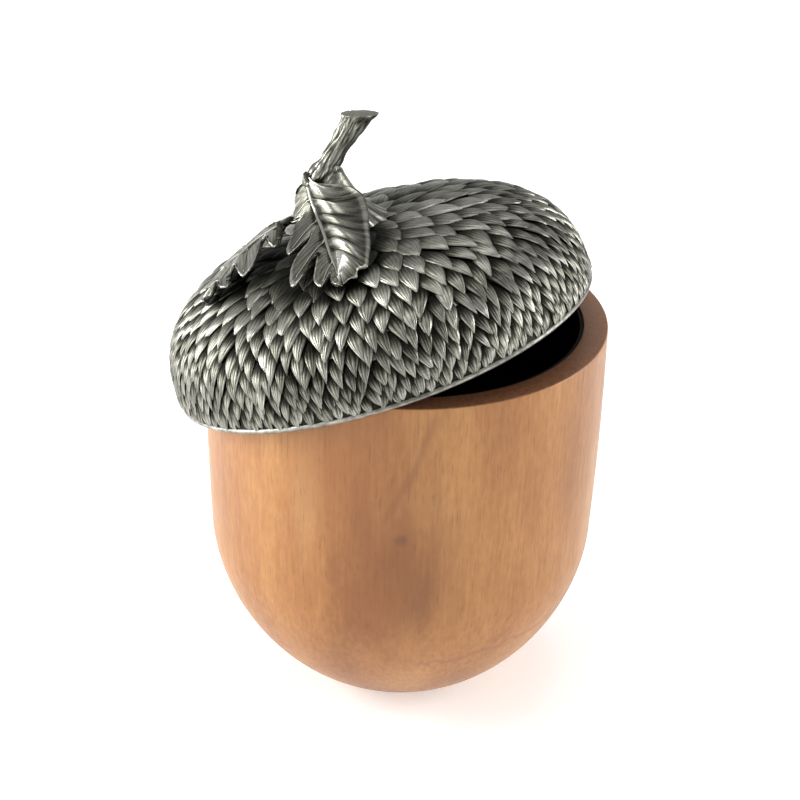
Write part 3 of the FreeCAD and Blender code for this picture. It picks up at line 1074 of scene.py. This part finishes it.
def wood_rings(n, colour, x, z):
    """Adds one growth ring that the round bottom cuts and a dark vein that leans to the knot."""
    ring = n.maths("MULTIPLY_ADD", n.noise(n.position((1, 1, 0.1)), 0.3, 4.0), 5.0, z)
    ring = n.maths("MULTIPLY_ADD", x, -0.13, ring)
    off_ring = n.maths("ABSOLUTE", n.maths("SUBTRACT", ring, 26.0))
    to_right = n.maths("MULTIPLY", x, 0.1, clamp=True)
    ring_mask = n.maths("MULTIPLY", n.fade(off_ring, 0.1, 1.3), to_right)
    colour = n.tint(colour, (0.27, 0.095, 0.038), ring_mask, 0.55)
    vein = n.maths("MULTIPLY_ADD", n.noise(n.position((1, 1, 0.3)), 0.15, 2.0), 5.0, x)
    vein = n.maths("MULTIPLY_ADD", z, -0.42, vein)
    off_vein = n.maths("ABSOLUTE", n.maths("ADD", vein, 29.5))
    above_knot = n.fade(n.distance(n.position(), (3, -49, 84), (14, 12, 18)), 0.7, 1.1)
    vein_mask = n.maths("MULTIPLY", n.fade(off_vein, 0.1, 2.2), above_knot)
    return n.tint(colour, (0.20, 0.075, 0.028), vein_mask, 0.4)


def end_grain_and_lid_shadow(n, colour, where, y, z):
    """Turns the flat rim darker, partly as end grain and partly as painted shadow of the lid: darkest at
    the near side, lighter towards the far side as painted light.
    """
    up = n.add("ShaderNodeSeparateXYZ")
    n.join(n.add("ShaderNodeNewGeometry").outputs["Normal"], up.inputs[0])
    near_top = n.maths("GREATER_THAN", z, BOWL_HEIGHT - 0.5)
    on_top = n.grey_ramp(n.maths("MULTIPLY", near_top, up.outputs["Z"]), [(0.35, 0.0), (0.8, 1.0)])
    grain = n.noise(where, 1.3, 4.0)
    dark = n.ramp(grain, [(0.3, (0.115, 0.046, 0.021)), (0.7, (0.21, 0.092, 0.043))])
    # painted light on the far side of the rim, which leaves the near side darkest as painted shadow of the
    # lid
    far_light_share = n.maths("MULTIPLY_ADD", y, 0.016, 0.55, clamp=True)
    return n.mix(colour, n.tint(dark, (0.34, 0.165, 0.085), far_light_share, 0.7), on_top)


@once
def wood_material():
    """Plain, light orange-brown hardwood with its grain along the bowl's axis."""
    n = Nodes("turned_hardwood")
    where = n.position()
    axes = n.add("ShaderNodeSeparateXYZ")
    n.join(where, axes.inputs[0])
    x, y, z = axes.outputs
    fibre = n.noise(n.position((1, 1, 0.05)), 1.1, 5.0, roughness=0.6)
    broad = n.noise(n.position((1, 1, 0.22)), 0.05)
    speckle = n.noise(n.position((1, 1, 0.4)), 0.75, 4.0)
    tone = n.maths("MULTIPLY_ADD", fibre, 0.22, n.maths("MULTIPLY", broad, 0.62))
    tone = n.maths("MULTIPLY_ADD", speckle, 0.20, n.maths("SUBTRACT", tone, 0.02))
    colour = n.ramp(tone, [
        (0.36, (0.250, 0.098, 0.028)),
        (0.50, (0.350, 0.150, 0.046)),
        (0.64, (0.445, 0.215, 0.072)),
    ])
    wobble = n.maths("MULTIPLY", n.noise(n.position((1, 1, 0.12)), 0.2), 0.9)
    for centre, radii, (full, gone), shade, share in WOOD_PATCHES:
        off_centre = n.maths("ADD", n.distance(where, centre, radii), wobble)
        colour = n.tint(colour, shade, n.fade(off_centre, full, gone), share)
    # fine pores, drawn out along the grain
    pores = n.noise(n.position((1, 1, 0.07)), 2.2, 2.0, roughness=0.45)
    pore_mask = n.grey_ramp(pores, [(0.30, 1.0), (0.39, 0.0)])
    colour = n.tint(colour, (0.14, 0.055, 0.022), pore_mask, 0.34)
    colour = wood_rings(n, colour, x, z)
    # small knot
    knot = n.distance(where, (0.2, -49, 63.6), (1.7, 4, 1.6))
    knot = n.maths("MULTIPLY_ADD", n.noise(where, 0.7), 0.5, knot)
    colour = n.tint(colour, (0.15, 0.06, 0.027), n.fade(knot, 0.7, 1.7), 0.6)
    colour = end_grain_and_lid_shadow(n, colour, where, y, z)
    roughness = n.grey_ramp(fibre, [(0.3, 0.42), (0.7, 0.33)])
    dents = n.maths("SUBTRACT", fibre, n.maths("MULTIPLY", pore_mask, 0.6))
    n.surface(Base_Color=colour, Roughness=roughness, Normal=n.bump(dents, 0.12, 0.0002))
    n.surface(Specular_IOR_Level=0.4)
    return n.material


# ---- stage, light and camera ----

FLOOR_GLOW = 0.36
LIGHT_TARGET = (0, 0, 0.08)


def make_floor():
    """A white floor with a faint glow, which carries the shadow under the bowl."""
    half = 3.0
    corners = [(-half, -half, 0), (half, -half, 0), (half, half, 0), (-half, half, 0)]
    mesh = bpy.data.meshes.new("floor")
    mesh.from_pydata(corners, [], [(0, 1, 2, 3)])
    floor = add_object("floor", mesh)
    n = Nodes("pale_floor")
    n.surface(Base_Color=(0.92, 0.92, 0.915), Roughness=0.85, Specular_IOR_Level=0.2)
    n.surface(Emission_Color=(1.0, 1.0, 1.0), Emission_Strength=FLOOR_GLOW)
    mesh.materials.append(n.material)


def area_light(name, place, width, height, power):
    light = bpy.data.lights.new(name, "AREA")
    light.shape = "RECTANGLE"
    light.size = width
    light.size_y = height
    light.energy = power
    lamp = add_object(name, light)
    lamp.location = place
    lamp.rotation_mode = "QUATERNION"
    lamp.rotation_quaternion = (Vector(LIGHT_TARGET) - Vector(place)).to_track_quat("-Z", "Y")


def make_lights():
    area_light("left_box", (-0.90, -0.02, 0.35), 0.35, 0.7, 11.0)
    area_light("right_box", (0.88, 0.12, 0.30), 0.25, 0.6, 5.0)
    area_light("front_left", (-0.65, -0.75, 0.35), 0.2, 0.5, 1.6)
    area_light("front_right", (0.75, -0.70, 0.30), 0.15, 0.5, 1.4)
    area_light("overhead", (0.0, 0.1, 1.3), 0.8, 0.8, 5.0)


def make_world():
    """Plain studio surroundings: greys by height, darkest overhead."""
    world = bpy.data.worlds.new("studio")
    world.use_nodes = True
    tree = world.node_tree
    background = tree.nodes["Background"]
    place = tree.nodes.new("ShaderNodeTexCoord")
    split = tree.nodes.new("ShaderNodeSeparateXYZ")
    ramp = tree.nodes.new("ShaderNodeValToRGB")
    tree.links.new(place.outputs["Generated"], split.inputs[0])
    tree.links.new(split.outputs["Z"], ramp.inputs["Fac"])
    tree.links.new(ramp.outputs["Color"], background.inputs["Color"])
    greys = [(0.0, 0.6), (0.2, 0.5), (0.5, 0.58), (1.0, 0.30)]
    fill_ramp(ramp, [(at, (grey, grey, grey)) for at, grey in greys])
    background.inputs["Strength"].default_value = 0.9
    bpy.context.scene.world = world


CAMERA_PLACE = (-0.001047, -0.671484, 0.421815)
CAMERA_ELEVATION = 27.24
CAMERA_ROLL = 1.643
CAMERA_LENS = 135.0
CAMERA_SENSOR = 36.0


def make_camera():
    data = bpy.data.cameras.new("camera")
    data.lens = CAMERA_LENS
    data.sensor_width = CAMERA_SENSOR
    data.clip_start = 0.01
    data.clip_end = 20.0
    camera = add_object("camera", data)
    camera.location = CAMERA_PLACE
    look = Matrix.Rotation(math.radians(90 - CAMERA_ELEVATION), 4, "X")
    roll = Matrix.Rotation(math.radians(CAMERA_ROLL), 4, "Z")
    camera.rotation_mode = "QUATERNION"
    camera.rotation_quaternion = (look @ roll).to_quaternion()
    bpy.context.scene.camera = camera


def dress_hardware():
    """Gives the washer and the screw, which keep their CAD meshes, a plain steel."""
    for node in ("finial_washer", "finial_screw"):
        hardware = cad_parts[node]
        hardware.data.materials.clear()
        hardware.data.materials.append(screw_material())


make_camera()
make_floor()
make_lights()
make_world()
make_bowl()
make_liner()
make_cap_shell()
make_lip()
make_scales()
make_stem()
make_front_leaf()
make_left_leaf()
dress_hardware()

bpy.context.scene.view_settings.view_transform = "Standard"
